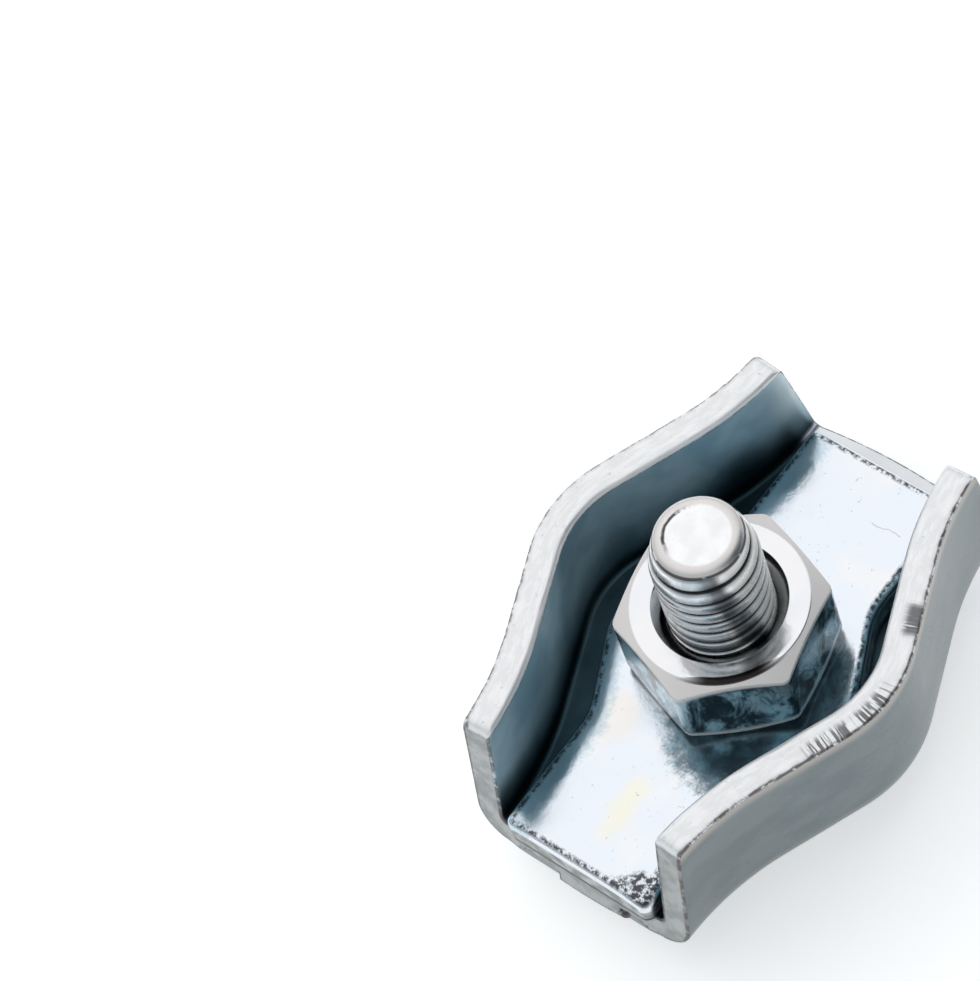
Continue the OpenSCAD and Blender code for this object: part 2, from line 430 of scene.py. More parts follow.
def rolled(distance, radius):
    """How far a rounded edge has dropped at a distance from it."""
    if distance >= radius:
        return 0.0
    return radius - math.sqrt(max(0.0, radius**2 - (radius - distance) ** 2))


def plate_stations():
    """Places along the plate, closer together round its corners."""
    half = PLATE_HALF[0]
    corner = [half - PLATE_CORNER * (1 - math.sin(a)) for a in np.radians(np.linspace(0, 90, 11))]
    count = round((half - PLATE_CORNER) / 0.3)
    positive = list(np.linspace(0, half - PLATE_CORNER, count))[1:-1] + corner
    return [-x for x in reversed(positive)] + [0.0] + positive


def plate_drop(x, y, side, end):
    """How far the top lies below its flat at x, y, side mm from a long edge and end mm from
    an end: rolled edges, two pressed-down corners and a slight unevenness."""
    long_drop = rolled(side, LONG_ROLL)
    if y > 0:
        long_drop = rolled(side, FAR_ROLL_WIDE) * FAR_ROLL_DEEP / FAR_ROLL_WIDE
    drop = math.hypot(long_drop, rolled(end, END_ROLL))
    half = PLATE_HALF[0]
    drop += NEAR_DENT * bell(math.hypot(x + half - 0.3, y + PLATE_END_HALF - 0.2), 0.75)
    drop += FAR_DENT * bell(math.hypot(x + half, y - PLATE_END_HALF), 0.6)
    drop += 0.03 * (1 + wobble(x, y, scale=0.35)) * min(1.0, side)
    return min(drop, 1.0)


def build_plate():
    """The clamp plate. Its attributes: rim is the distance from the top's nearest edge and
    -0.5 below it, and flank is the distance from the top's +Y edge."""
    half = PLATE_HALF[0]
    shares = list(np.linspace(-1, 1, 25))[1:-1]
    points, rim, flank, top_rows, under_rows = [], [], [], [], []
    for on_top, rows in ((True, top_rows), (False, under_rows)):
        for x in plate_stations():
            wide = plate_half_width(x)
            ys = [-(wide - d) for d in RIM_STEPS]
            ys += [share * (wide - RIM_STEPS[-1]) for share in shares]
            ys += [wide - d for d in reversed(RIM_STEPS)]
            row = []
            for y in ys:
                side, end = wide - abs(y), half - abs(x)
                row.append(len(points))
                if on_top:
                    z = PLATE_HIGH[2] - plate_drop(x, y, side, end)
                    rim.append(min(side, end))
                    flank.append(side if y > 0 else FAR_FROM_FLANK)
                else:
                    lift = math.hypot(rolled(side, UNDER_ROLL), rolled(end, UNDER_ROLL))
                    z = PLATE_LOW[2] + min(lift, 0.2)
                    rim.append(-0.5)
                    flank.append(FAR_FROM_FLANK)
                points.append((x + PLATE_MIDDLE[0], y + PLATE_MIDDLE[1], z))
            rows.append(row)
    faces = strips(top_rows, closed=False) + strips(under_rows, closed=False)
    for k in (0, -1):
        faces += strips([top_rows[k], under_rows[k]], closed=False)
        faces += strips([[r[k] for r in top_rows], [r[k] for r in under_rows]], closed=False)
    piece = add_piece(
        "clamp_plate_sheet", points, faces, "plate", "clamp_plate",
        {"rim": rim, "flank": flank},
    )
    circle = [
        (PLATE_MIDDLE[0] + HOLE_RADIUS * math.cos(a), PLATE_MIDDLE[1] + HOLE_RADIUS * math.sin(a))
        for a in np.radians(np.arange(0, 360, 5))
    ]
    combine(piece, *prism(circle, PLATE_LOW[2] - 1, PLATE_HIGH[2] + 1))
    return piece


# ---------------------------------------------------------------- thread, bolt and nut

PITCH = 1.0                # rise of the thread in a turn
CREST = 2.88               # radius over the thread's crests
ROOT = 2.44                # radius at the bottom of its grooves
THREAD_SHAPE = np.array([  # (share of the pitch from a crest's middle, radius)
    (-0.50, ROOT), (-0.47, ROOT), (-0.44, ROOT + 0.05), (-0.35, CREST - 0.12),
    (-0.29, CREST - 0.03), (-0.18, CREST), (0.18, CREST), (0.29, CREST - 0.03),
    (0.35, CREST - 0.12), (0.44, ROOT + 0.05), (0.47, ROOT), (0.50, ROOT),
])
THREAD_GAP = 0.07          # radial play between the nut's thread and the bolt's


def thread_radius(angle, z):
    """The bolt's thread, right-handed: its surface at an angle in radians and a height."""
    share = (z / PITCH - angle / (2 * math.pi) + 0.5) % 1 - 0.5
    return float(np.interp(share, THREAD_SHAPE[:, 0], THREAD_SHAPE[:, 1]))


def thread_heights(angle, low, high):
    """Heights where the thread's profile bends at an angle, clamped to low and high. The
    count is the same at each angle."""
    first, last = math.floor(low / PITCH) - 2, math.ceil(high / PITCH) + 1
    heights = []
    for turn in range(first, last + 1):
        for share in THREAD_SHAPE[:-1, 0]:
            z = (turn + share + angle / (2 * math.pi)) * PITCH
            heights.append(min(high, max(low, z)))
    return heights


TIP_FLAT = 1.70            # radius of the flat at the bolt's tip
TIP_BAND = 2.40            # radius where the tip's rounding ends and the thread starts
TIP_DROP = 0.34            # height of that rounding
TIP_GROWTH = 0.27          # growth of the thread's radius in a millimetre below it
NECK_HALF = 3.1            # half the width of the square neck
NECK_CORNER = 4.3          # radius over its blunted corners
NECK_TOP = CHANNEL_LOW[2] + SHEET - 0.2
HEAD_TOP = CHANNEL_LOW[2]
HEAD_RIM = 1.2             # radius round the head's lower rim
HEAD_EDGE = 0.12           # rounding of its upper edge


def build_bolt():
    """The bolt. Its attribute groove is 0 on the thread's crests and 1 at its bottom."""
    tip = BOLT_HIGH[2]
    band_z = tip - TIP_DROP
    head_radius = BOLT_HIGH[0]
    columns, groove = [], []
    for angle in np.radians(np.arange(0, 361, 3)):
        profile = [(0, tip - 0.02), (0.9, tip - 0.015), (TIP_FLAT - 0.1, tip - 0.002),
                   (TIP_FLAT, tip)]
        for a in np.radians((15, 30, 45, 60, 75, 90)):
            radius = TIP_FLAT + (TIP_BAND - TIP_FLAT) * math.sin(a)
            profile.append((radius, tip - TIP_DROP * (1 - math.cos(a))))
        depth = [0.0] * len(profile)
        for z in reversed(thread_heights(angle, NECK_TOP, band_z)):
            taper = min(1.0, (TIP_BAND + 0.02 + (band_z - z) * TIP_GROWTH) / CREST)
            radius = thread_radius(angle, z)
            profile.append((radius * taper, z))
            depth.append(max(0.0, min(1.0, (CREST - radius) / (CREST - ROOT))))
        square = NECK_HALF / max(abs(math.cos(angle)), abs(math.sin(angle)))
        square = min(square, NECK_CORNER)
        rim = head_radius - HEAD_RIM
        lower = [(square - 0.08, NECK_TOP), (square, NECK_TOP - 0.08), (square, HEAD_TOP),
                 (head_radius - HEAD_EDGE, HEAD_TOP), (head_radius - 0.03, HEAD_TOP - 0.03),
                 (head_radius, HEAD_TOP - HEAD_EDGE)]
        lower += [(rim + HEAD_RIM * math.cos(a), HEAD_RIM * (1 - math.sin(a)))
                  for a in np.radians(np.arange(0, 91, 15))]
        lower += [(rim * 0.6, 0.0), (rim * 0.3, 0.0), (0, 0.0)]
        profile += lower
        depth += [0.0] * len(lower)
        columns.append([(r * math.cos(angle), r * math.sin(angle), z) for r, z in profile])
        groove += depth
    points, faces = column_mesh(columns, closed=False)
    return add_piece("bolt_threaded", points, faces, "base", "bolt",
                     {"groove": groove}, smooth_angle=40)


FLAT_HALF = 5.0            # half the width across the nut's flats
CORNER_CUT = 5.7           # radius over the slightly blunted corners
CORNER_ANGLE = math.radians(12.5)
RING_RADIUS = 4.72         # outer radius of the flat ring on the nut's faces
RING_STEP = 0.05           # little step round that ring
CHAMFER = math.radians(30)
MOUTH_RADIUS = 3.6         # radius of the countersunk mouths
RING_POINTS = 6            # how many of a face's points lie on its flat ring


def build_nut():
    """The nut. Its attribute zone is 0 in the bore, 1 on the flat rings, 2 on the chamfers
    and 3 on the flats."""
    low, high = NUT_LOW[2], NUT_HIGH[2]
    columns, zone = [], []
    for k in range(181):
        angle = CORNER_ANGLE + math.radians(2 * k)
        off_flat = (math.radians(2 * k) % math.radians(60)) - math.radians(30)
        corner = min(FLAT_HALF / math.cos(off_flat), CORNER_CUT)
        inner = []
        for z in thread_heights(angle, low, high):
            mouth = max(MOUTH_RADIUS - (high - z), MOUTH_RADIUS - (z - low))
            inner.append((max(thread_radius(angle, z) + THREAD_GAP, mouth), z))
        face = [(MOUTH_RADIUS + 0.03, 0.0), (MOUTH_RADIUS + 0.15, -0.004), (4.0, 0.0), (4.4, 0.0),
                (RING_RADIUS - 0.06, 0.004), (RING_RADIUS, 0.016), (RING_RADIUS + 0.05, RING_STEP)]
        start = RING_RADIUS + 0.05
        for share in (0.2, 0.4, 0.6, 0.8, 0.94, 1.0):
            radius = start + (corner - start) * share
            face.append((radius, RING_STEP + (radius - start) * math.tan(CHAMFER)))
        edge_drop = face[-1][1]
        face[-1] = (corner - 0.015, edge_drop)
        face.append((corner, edge_drop + 0.05))
        face = [(r, max(0.0, drop)) for r, drop in face]
        upper = [(r, high - drop) for r, drop in face]
        under = [(r, low + drop) for r, drop in reversed(face)]
        top_z, under_z = upper[-1][1], under[0][1]
        shares = np.linspace(0, 1, 9)[1:-1]
        sides = [(corner, top_z + (under_z - top_z) * share) for share in shares]
        profile = inner + upper + sides + under
        columns.append([(r * math.cos(angle), r * math.sin(angle), z) for r, z in profile])
        chamfer_points = len(face) - RING_POINTS
        zone += [0.0] * len(inner) + [1.0] * RING_POINTS + [2.0] * chamfer_points
        zone += [3.0] * len(sides) + [2.0] * chamfer_points + [1.0] * RING_POINTS
    points, faces = column_mesh(columns, closed=True)
    return add_piece("hex_nut_threaded", points, faces, "nut", "hex_nut",
                     {"zone": zone}, smooth_angle=24)


# ---------------------------------------------------------------- materials

class Tree:
    """A small helper for node trees: each call adds one node and returns an output."""

    def __init__(self, tree):
        self.tree = tree
        tree.nodes.clear()

    def add(self, kind, inputs=None, output=0, **settings):
        made = self.tree.nodes.new(kind)
        for key, value in settings.items():
            setattr(made, key, value)
        for key, value in (inputs or {}).items():
            socket = made.inputs[key]
            if isinstance(value, bpy.types.NodeSocket):
                self.tree.links.new(value, socket)
            else:
                socket.default_value = value
        return made.outputs[output] if made.outputs else made

    def math(self, operation, a, b=0.0, clamp=False):
        return self.add("ShaderNodeMath", {0: a, 1: b}, operation=operation, use_clamp=clamp)

    def position(self):
        return self.add("ShaderNodeTexCoord", output=3)

    def stretched(self, scale):
        return self.add("ShaderNodeMapping", {"Vector": self.position(), "Scale": scale})

    def noise(self, scale, detail=2.0, rough=0.5, vector=None, distortion=0.0):
        return self.add("ShaderNodeTexNoise", {
            "Vector": vector or self.position(), "Scale": scale, "Detail": detail,
            "Roughness": rough, "Distortion": distortion})

    def band(self, value, low, high, to_low=0.0, to_high=1.0):
        """Maps low..high to to_low..to_high, smoothly and clamped."""
        return self.add("ShaderNodeMapRange", {
            "Value": value, "From Min": low, "From Max": high,
            "To Min": to_low, "To Max": to_high}, interpolation_type="SMOOTHSTEP")

    def mix(self, share, a, b):
        return self.add("ShaderNodeMix", {0: share, 6: a, 7: b}, output=2, data_type="RGBA")

    def between(self, value, low, high, soft=0.06):
        """1 from low to high and 0 outside, with soft ends."""
        return self.math("MULTIPLY", self.band(value, low - soft, low + soft),
                         self.band(value, high - soft, high + soft, 1, 0))

    def distance_to(self, x, y, centre_x, centre_y, uneven, reach=1.5):
        """Distance in millimetres from a point seen from above, made uneven by a noise."""
        along = self.math("POWER", self.math("SUBTRACT", x, centre_x), 2)
        beside = self.math("POWER", self.math("SUBTRACT", y, centre_y), 2)
        far = self.math("SQRT", self.math("ADD", along, beside))
        centred = self.math("SUBTRACT", uneven, 0.5)
        return self.math("ADD", far, self.math("MULTIPLY", centred, reach))

    def axes_mm(self):
        """The row frame's x, y and z in millimetres."""
        scaled = self.add(
            "ShaderNodeVectorMath", {0: self.position(), 3: 1 / MM}, operation="SCALE")
        split = self.tree.nodes.new("ShaderNodeSeparateXYZ")
        self.tree.links.new(scaled, split.inputs[0])
        return split.outputs[0], split.outputs[1], split.outputs[2]

    def attribute(self, name):
        return self.add("ShaderNodeAttribute", output=2, attribute_name=name)

    def bump(self, height, strength, depth_mm, normal=None):
        inputs = {"Height": height, "Strength": strength, "Distance": depth_mm * MM}
        if normal is not None:
            inputs["Normal"] = normal
        return self.add("ShaderNodeBump", inputs)


def rgba(*colour):
    return (*colour, 1.0)


def new_material(name):
    material = bpy.data.materials.new(name)
    material.use_nodes = True
    return material, Tree(material.node_tree)


def finish_metal(tree, colour, roughness, normal, metallic=1.0):
    shader = tree.add("ShaderNodeBsdfPrincipled", {
        "Base Color": colour, "Metallic": metallic, "Roughness": roughness, "Normal": normal})
    tree.add("ShaderNodeOutputMaterial", {"Surface": shader})


def plate_material():
    """Bright zinc with yellowed patches, painted teal reflections by the nut and along the +Y
    edge, painted shade over a corner and underneath, and speckled edges.
    """
    material, t = new_material("plate_bright_zinc")
    rim = t.attribute("rim")
    x, y, _ = t.axes_mm()
    tint = t.band(t.noise(260, 3), 0.46, 0.66)
    colour = t.mix(tint, rgba(0.79, 0.83, 0.88), rgba(0.84, 0.85, 0.86))
    # The yellowed patches: a long one and a small peach one.
    along = t.math("DIVIDE", t.math("ADD", x, 10.6), 2.1)
    beside = t.math("DIVIDE", t.math("ADD", y, 0.6), 0.85)
    patch = t.math("ADD", t.math("POWER", along, 2), t.math("POWER", beside, 2))
    patch = t.math("ADD", patch, t.math("MULTIPLY", t.noise(480, 4), 2.6))
    patch = t.band(patch, 1.0, 2.9, 1, 0)
    colour = t.mix(t.math("MULTIPLY", patch, 0.7), colour, rgba(0.90, 0.85, 0.66))
    peach = t.band(t.distance_to(x, y, -6.6, 3.0, t.noise(700, 3)), 0.9, 1.9, 1, 0)
    colour = t.mix(t.math("MULTIPLY", peach, 0.5), colour, rgba(0.86, 0.78, 0.68))
    # Painted reflections: the dark teal that the nut mirrors in the plate beside it, and a darker
    # teal along the edge beside the far flange.
    painted_nut_reflection = t.distance_to(x, y, -2.4, -3.6, t.noise(1500, 5, 0.75), 3.4)
    clouds = t.band(t.noise(1100, 5, 0.7), 0.42, 0.70)
    teal = t.mix(clouds, rgba(0.04, 0.10, 0.13), rgba(0.13, 0.29, 0.36))
    colour = t.mix(t.band(painted_nut_reflection, 4.5, 5.8, 0.86, 0), colour, teal)
    # The side mask paints that darker teal reflection along the +Y edge.
    side = t.math("ADD", t.attribute("flank"), t.math("MULTIPLY", t.noise(1700, 5, 0.75), 2.4))
    side = t.band(side, 2.2, 2.9, 0.55, 0)
    colour = t.mix(side, colour, rgba(0.40, 0.56, 0.64))
    # Dark specks along the edges, and painted shade as dark specks over the pressed-down corner.
    line = t.math("MULTIPLY", t.band(rim, 0.02, 0.22), t.band(rim, 0.30, 0.52, 1, 0))
    # Painted shade: the corner mask darkens the pressed-down corner.
    corner = t.math("ADD", t.math("ADD", x, 14.4), t.math("ADD", y, 4.9))
    corner = t.math("ADD", corner, t.math("MULTIPLY", t.noise(1300, 4), 2.2))
    line = t.math("MAXIMUM", line, t.math("MULTIPLY", t.band(corner, 3.1, 4.1, 1, 0), 1.6))
    speck = t.band(t.noise(3400, 5, 0.7), 0.41, 0.57)
    line = t.math("MULTIPLY", line, speck, clamp=True)
    line = t.math("MULTIPLY", line, t.band(rim, 0.0, 0.25))
    colour = t.mix(t.math("MULTIPLY", line, 0.95), colour, rgba(0.05, 0.05, 0.055))
    # A scratch near the +X end, and pits.
    shift = t.math("MULTIPLY", t.noise(900, 2), 0.6)
    scratch = t.math("ABSOLUTE", t.math("ADD", t.math("SUBTRACT", x, 10.1), shift))
    scratch = t.math("MULTIPLY", t.band(scratch, 0.0, 0.05, 1, 0), t.between(y, -3.5, -1.7))
    pits = t.math("MULTIPLY", t.band(t.noise(3800, 2), 0.68, 0.76), 0.35)
    pits = t.math("MAXIMUM", pits, t.math("MULTIPLY", scratch, 0.6))
    colour = t.mix(pits, colour, rgba(0.30, 0.33, 0.37))
    # The sheared faces round the plate, and painted shade that makes its underside nearly black.
    wall = t.band(rim, -0.08, -0.01, 1, 0)
    torn = t.band(t.noise(1200, 4), 0.40, 0.62)
    sheared_walls_and_underside_shade = t.mix(torn, rgba(0.22, 0.24, 0.24), rgba(0.46, 0.48, 0.48))
    # Painted shade: the underside turns nearly black.
    sheared_walls_and_underside_shade = t.mix(t.band(rim, -0.46, -0.36, 1, 0), sheared_walls_and_underside_shade, rgba(0.03, 0.03, 0.03))
    colour = t.mix(wall, colour, sheared_walls_and_underside_shade)
    roughness = t.band(t.noise(700, 4), 0.3, 0.7, 0.12, 0.20)
    roughness = t.math("ADD", roughness, t.math("MULTIPLY", wall, 0.25))
    normal = t.bump(t.noise(420, 2), 0.4, 0.07)
    normal = t.bump(t.noise(3000, 5, 0.65), 0.45, 0.02, normal)
    finish_metal(t, colour, roughness, normal)
    return material


def channel_material():
    """Zinc on the bent sheet: grey outside from painted shade, blue inside from painted shade and
    painted reflections over a bluish zinc, and bright sheared top faces.
    """
    material, t = new_material("channel_bright_zinc")
    edge, along, through = t.attribute("edge"), t.attribute("along"), t.attribute("through")
    x, y, z = t.axes_mm()
    cut_face = t.band(edge, 0.3, 0.8)
    drawn = t.noise(330, 4, 0.55, t.stretched((1.0, 1.0, 1.6)))
    mottled = t.band(drawn, 0.35, 0.65)
    # Painted shade: the outside is grey for the shaded floor that it mirrors, lighter and warmer
    # in a band near the top.
    outer = t.mix(mottled, rgba(0.16, 0.19, 0.20), rgba(0.20, 0.23, 0.24))
    outer = t.mix(t.band(z, 10.7, 11.5), outer, rgba(0.40, 0.38, 0.36))
    # Painted shade and painted reflections inside: dark teal low down, pale cyan higher up.
    cloudy = t.band(t.noise(190, 3, 0.5), 0.34, 0.66)
    low = t.mix(cloudy, rgba(0.05, 0.11, 0.14), rgba(0.15, 0.25, 0.30))
    high = t.mix(cloudy, rgba(0.30, 0.50, 0.60), rgba(0.62, 0.82, 0.90))
    level = t.math("ADD", z, t.math("MULTIPLY", t.noise(160, 2), 5.0))
    inner = t.mix(t.band(level, 6.6, 11.0), low, high)
    # Painted light: a pale patch inside near the +X end.
    glow = t.math("MULTIPLY", t.band(x, 9.8, 13.4), t.band(z, 5.8, 9.0))
    inner = t.mix(t.math("MULTIPLY", glow, 0.75), inner, rgba(0.74, 0.82, 0.84))
    # Painted shade: nearly black low inside beside the plate, except on the floor beyond the +X
    # end.
    inner = t.mix(t.band(z, 4.4, 5.4, 0.7, 0), inner, rgba(0.015, 0.03, 0.04))
    ends = t.band(x, 12.4, 13.2)
    end_floor = t.math("MULTIPLY", ends, t.band(z, 4.1, 4.6, 1, 0))
    inner = t.mix(end_floor, inner, rgba(0.78, 0.80, 0.82))
    side = t.mix(t.band(through, 0.45, 0.55), outer, inner)

    # The sheared faces, with grain across the sheet. Those that face sideways are grey.
    grain = t.add("ShaderNodeCombineXYZ", {
        "X": t.math("MULTIPLY", along, 0.22), "Y": t.math("MULTIPLY", through, 3.2)})
    lines = t.noise(3.2, 5, 0.65, grain)
    fine = t.noise(2400, 4, 0.65)
    sheared = t.mix(t.band(lines, 0.42, 0.62), rgba(0.88, 0.88, 0.88), rgba(0.98, 0.98, 0.98))
    faces_up = t.band(z, 11.2, 11.4)
    torn = t.band(t.noise(1000, 4, 0.6), 0.36, 0.64)
    cut = t.mix(torn, rgba(0.25, 0.27, 0.27), rgba(0.42, 0.44, 0.44))
    sheared = t.mix(t.math("MULTIPLY", t.math("SUBTRACT", 1.0, faces_up), 0.95), sheared, cut)
    dark = t.math("MULTIPLY", t.band(fine, 0.62, 0.74), 0.4)
    sheared = t.mix(dark, sheared, rgba(0.22, 0.21, 0.21))

    # Dark strokes that the shears left across the -Y flange's top, and a nick in it.
    near = t.math("MULTIPLY", t.band(y, -8.0, -7.9, 1, 0), t.band(through, 0.36, 0.56, 1, 0))
    strokes = t.add("ShaderNodeCombineXYZ", {"X": along, "Y": t.math("MULTIPLY", through, 0.16)})
    ticks = t.band(t.noise(6.5, 3, 0.6, strokes), 0.48, 0.54)
    nick = t.band(t.noise(8.0, 3, 0.6, strokes), 0.38, 0.46)
    nick = t.math("MULTIPLY", t.between(along, 3.1, 5.1, 0.3), nick)
    marks = t.math("MULTIPLY", t.between(along, -4.6, 0.4, 0.5), ticks)
    marks = t.math("MAXIMUM", marks, t.math("MULTIPLY", nick, t.band(through, 0.1, 0.25)))
    marks = t.math("MULTIPLY", t.math("MULTIPLY", marks, near), t.band(fine, 0.20, 0.36))
    sheared = t.mix(t.math("MULTIPLY", marks, 0.82), sheared, rgba(0.04, 0.04, 0.05))
    colour = t.mix(cut_face, side, sheared)

    # A broken dark line round the sheared faces.
    border = t.math("MULTIPLY", t.band(edge, 0.15, 0.5), t.band(edge, 0.6, 0.95, 1, 0))
    rim = t.math("MULTIPLY", faces_up, cut_face)
    rim = t.math("MULTIPLY", t.band(through, 0.16, 0.30, 1, 0), rim)
    border = t.math("MAXIMUM", border, rim)
    border = t.math("MULTIPLY", border, t.band(t.noise(1900, 5, 0.7), 0.40, 0.54))
    colour = t.mix(t.math("MULTIPLY", border, 0.85), colour, rgba(0.10, 0.08, 0.07))

    # Roughness, grain and metal: the inside and the sheared faces reflect less sharply.
    smooth = t.band(drawn, 0.3, 0.7, 0.22, 0.32)
    smooth = t.math("ADD", smooth, t.math("MULTIPLY", t.band(through, 0.45, 0.55), 0.14))
    roughness = t.add("ShaderNodeMix", {0: cut_face, 2: smooth, 3: 0.34}, data_type="FLOAT")
    normal = t.bump(t.noise(430, 3), 0.3, 0.06)
    normal = t.bump(t.noise(4600, 3), 0.25, 0.01, normal)
    ridges = t.math("MULTIPLY", t.math("ADD", lines, t.math("MULTIPLY", fine, 0.6)), cut_face)
    normal = t.bump(ridges, 0.45, 0.04, normal)
    soft = t.math("MULTIPLY", t.band(through, 0.45, 0.55), t.band(level, 7.0, 11.0, 0.0, 0.4))
    metallic = t.math("SUBTRACT", 1.0, t.math("MAXIMUM", soft, t.math("MULTIPLY", cut_face, 0.4)))
    finish_metal(t, colour, roughness, normal, metallic)
    return material


def bolt_material():
    """Zinc on the bolt: painted shade in the grooves, painted reflections down the stem with a
    dark band, and a ring at the tip.
    """
    material, t = new_material("bolt_bright_zinc")
    groove = t.attribute("groove")
    scuffs = t.noise(900, 5, 0.65, t.stretched((1.0, 1.0, 0.35)))
    x, y, z = t.axes_mm()
    wear_and_shade = t.math("MULTIPLY", t.band(scuffs, 0.40, 0.66), t.band(z, 17.9, 18.38, 1.0, 0.15))
    colour = t.mix(wear_and_shade, rgba(0.92, 0.92, 0.92), rgba(0.62, 0.61, 0.61))

    # Down the threaded stem, painted reflections: a warm side, a leaning dark band and a cool
    # side.
    turn = t.math("ARCTAN2", y, x)
    stem = t.math("MULTIPLY", t.band(z, 17.9, 18.1, 1, 0), t.band(z, 5.0, 6.0))
    colour = t.mix(t.band(z, 2.4, 3.0, 0.8, 0), colour, rgba(0.60, 0.62, 0.64))
    leaning = t.math("ADD", turn, t.math("MULTIPLY", t.math("SUBTRACT", z, 12.5), 0.075))
    warm = t.math("MULTIPLY", t.between(leaning, -1.62, -0.2, 0.12), stem)
    colour = t.mix(t.math("MULTIPLY", warm, 0.8), colour, rgba(0.94, 0.90, 0.86))
    dark_band_reflection = t.math("ADD", leaning, t.math("MULTIPLY", t.noise(900, 4), 0.35))
    dark_band_reflection = t.math("MULTIPLY", t.between(dark_band_reflection, -1.93, -1.53, 0.12), stem)
    colour = t.mix(t.math("MULTIPLY", dark_band_reflection, 0.84), colour, rgba(0.05, 0.055, 0.065))
    cool = t.math("MULTIPLY", t.between(turn, -3.1, -2.4, 0.3), stem)
    colour = t.mix(t.math("MULTIPLY", cool, 0.6), colour, rgba(0.50, 0.58, 0.64))

    # On the tip: a duller rounded ring, and broken dark lines beside it that are painted shade.
    radius = t.math("SQRT", t.math("ADD", t.math("POWER", x, 2), t.math("POWER", y, 2)))
    tip = t.band(z, 17.95, 18.05)
    ring = t.math("MULTIPLY", t.band(radius, 1.68, 1.84), tip)
    colour = t.mix(ring, colour, rgba(0.74, 0.71, 0.69))
    ragged = t.math("ADD", radius, t.math("MULTIPLY", t.noise(1500, 3), 0.24))
    lines = t.between(ragged, 1.76, 1.94, 0.05)
    lines = t.math("MULTIPLY", lines, t.between(turn, 0.9, 2.6, 0.3))
    lines = t.math("MAXIMUM", lines, t.between(radius, 2.33, 2.44, 0.03))
    broken = t.band(t.noise(1100, 3), 0.30, 0.46)
    lines = t.math("MULTIPLY", lines, t.math("MULTIPLY", tip, broken))
    colour = t.mix(t.math("MULTIPLY", lines, 0.96), colour, rgba(0.05, 0.05, 0.06))

    # Painted shade in the thread's grooves.
    painted_groove_shade = t.band(groove, 0.10, 0.38)
    colour = t.mix(painted_groove_shade, colour, rgba(0.03, 0.03, 0.035))
    roughness = t.band(scuffs, 0.3, 0.7, 0.24, 0.38)
    normal = t.bump(t.noise(1500, 4), 0.35, 0.025)
    matt = t.math("MULTIPLY", t.math("SUBTRACT", warm, dark_band_reflection, clamp=True), 0.75)
    finish_metal(t, colour, roughness, normal, t.math("SUBTRACT", 1.0, matt))
    return material


def nut_material():
    """Zinc on the nut: bright rings, warm matt chamfers, painted reflections streaked over the
    flats, and painted shade in the bore and at the ring's edge.
    """
    material, t = new_material("nut_bright_zinc")
    zone = t.attribute("zone")
    x, y, _ = t.axes_mm()
    chamfer = t.math("MULTIPLY", t.band(zone, 1.2, 1.9), t.band(zone, 2.1, 2.7, 1, 0))
    flat = t.band(zone, 2.2, 2.9)
    bore = t.band(zone, 0.4, 0.9, 1, 0)
    cloudy = t.band(t.noise(420, 3), 0.42, 0.62)
    colour = t.mix(cloudy, rgba(0.84, 0.83, 0.83), rgba(0.80, 0.81, 0.83))
    colour = t.mix(chamfer, colour, rgba(0.95, 0.89, 0.86))

    # A dark line round the -X -Y side of the flat ring, painted shade at its edge on the side away
    # from the lamp.
    radius = t.math("SQRT", t.math("ADD", t.math("POWER", x, 2), t.math("POWER", y, 2)))
    front = t.math("ADD", t.math("MULTIPLY", x, -0.70), t.math("MULTIPLY", y, -0.71))
    front = t.band(t.math("DIVIDE", front, radius), 0.76, 0.96)
    inner_line = t.math("SUBTRACT", 4.78, t.math("MULTIPLY", front, 0.40))
    wear_and_shade = t.math("MULTIPLY", t.band(t.math("SUBTRACT", radius, inner_line), -0.03, 0.03),
                  t.band(radius, 4.80, 4.86, 1, 0))
    wear_and_shade = t.math("MULTIPLY", wear_and_shade, front)
    wear_and_shade = t.math("MULTIPLY", wear_and_shade, t.band(t.noise(2300, 4, 0.65), 0.14, 0.30))
    wear_and_shade = t.math("MULTIPLY", wear_and_shade, t.band(zone, 2.1, 2.4, 1, 0))
    colour = t.mix(wear_and_shade, colour, rgba(0.025, 0.02, 0.02))

    # Painted reflections streaked over the flats, from nearly black teal to pale cyan.
    reflection_streaks = t.noise(560, 6, 0.68, t.stretched((1.0, 1.0, 0.55)), 0.7)
    light = t.band(reflection_streaks, 0.40, 0.57)
    side = t.mix(light, rgba(0.04, 0.07, 0.09), rgba(0.58, 0.77, 0.84))
    colour = t.mix(flat, colour, side)
    # Painted shade: the bore is darker.
    colour = t.mix(t.math("MULTIPLY", bore, 0.8), colour, rgba(0.30, 0.33, 0.34))
    roughness = t.add("ShaderNodeMix", {
        0: chamfer, 2: t.band(t.noise(800, 3), 0.3, 0.7, 0.10, 0.20), 3: 0.5}, data_type="FLOAT")
    normal = t.bump(t.noise(900, 3), 0.35, 0.04)
    normal = t.bump(t.noise(5200, 3), 0.2, 0.008, normal)
    matt = t.math("MULTIPLY", t.math("MULTIPLY", flat, light), 0.36)
    matt = t.math("MAXIMUM", matt, t.math("MULTIPLY", chamfer, 0.9))
    finish_metal(t, colour, roughness, normal, t.math("SUBTRACT", 1.0, matt))
    return material


# ---------------------------------------------------------------- stage, light and camera

KEY_DIRECTION = Vector((0.30, 0.46, 0.835)).normalized()     # to the lamp and the bright sky
DARK_DIRECTION = Vector((0.45, -0.60, 0.66)).normalized()    # to a dark patch of the sky
KEY_DISTANCE, KEY_SIZE, KEY_RADIANCE = 0.7, 0.5, 0.12
FLOOR_RADIUS, FLOOR_CORNERS = 3.0, 60

